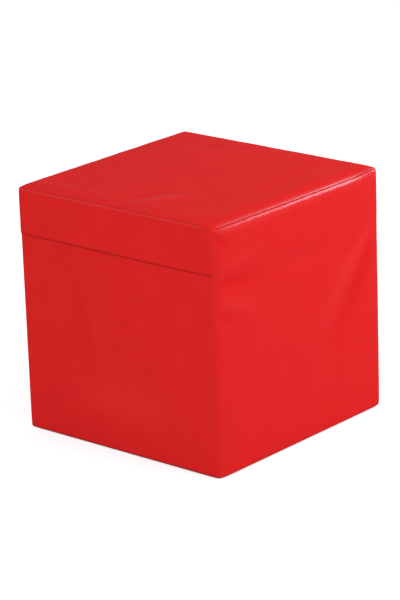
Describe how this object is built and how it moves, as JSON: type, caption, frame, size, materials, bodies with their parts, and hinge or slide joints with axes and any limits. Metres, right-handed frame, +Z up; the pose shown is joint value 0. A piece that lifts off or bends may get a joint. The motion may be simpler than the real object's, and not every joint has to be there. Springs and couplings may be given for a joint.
{
  "type": "spotting block",
  "caption": "Cube-shaped foam spotting block in a red coated-fabric cover, with a zip under a flap and a lid that folds back.",
  "frame": {"origin": "middle of the base, on the floor", "axes": "+Z up; +X towards the unbroken face, where the lid folds; the zip runs round the -Y, -X and +Y faces"},
  "size_m": [0.6028, 0.6028, 0.603],
  "materials": {
    "cover_red": "coated fabric, satin sheen",
    "base_grip": "matt anti-slip fabric",
    "foam_firm": "open-cell foam",
    "foam_core": "open-cell foam",
    "foam_dense": "dense foam",
    "zip_tape": "woven tape with a nylon coil",
    "zip_metal": "die-cast, polished"
  },
  "bodies": {
    "block": {"base_panel": "base_grip", "side_panel_left": "cover_red", "side_panel_rear": "cover_red", "side_panel_right": "cover_red", "front_panel_lower": "cover_red", "foam_base_slab": "foam_firm", "foam_core_block": "foam_core", "foam_top_slab": "foam_dense", "zip_tape_lower": "zip_tape", "zip_stop_closed": "zip_metal", "zip_stop_open": "zip_metal"},
    "lid": {"top_panel": "cover_red", "lid_band_left": "cover_red", "lid_band_rear": "cover_red", "lid_band_right": "cover_red", "front_panel_upper": "cover_red", "zip_tape_upper": "zip_tape"},
    "slider": {"zip_slider": "zip_metal", "zip_puller": "zip_metal"}
  },
  "joints": [
    {"name": "lid_fold", "type": "hinge", "parent": "block", "child": "lid", "pos_m": [0.3005, 0, 0.4865], "axis": [0, 1, 0], "range_deg": [0, 170]},
    {"name": "zip_slider_travel", "type": "slide", "parent": "block", "child": "slider", "axis": [-1, 0, 0], "range_m": [0, 0.51]}
  ]
}
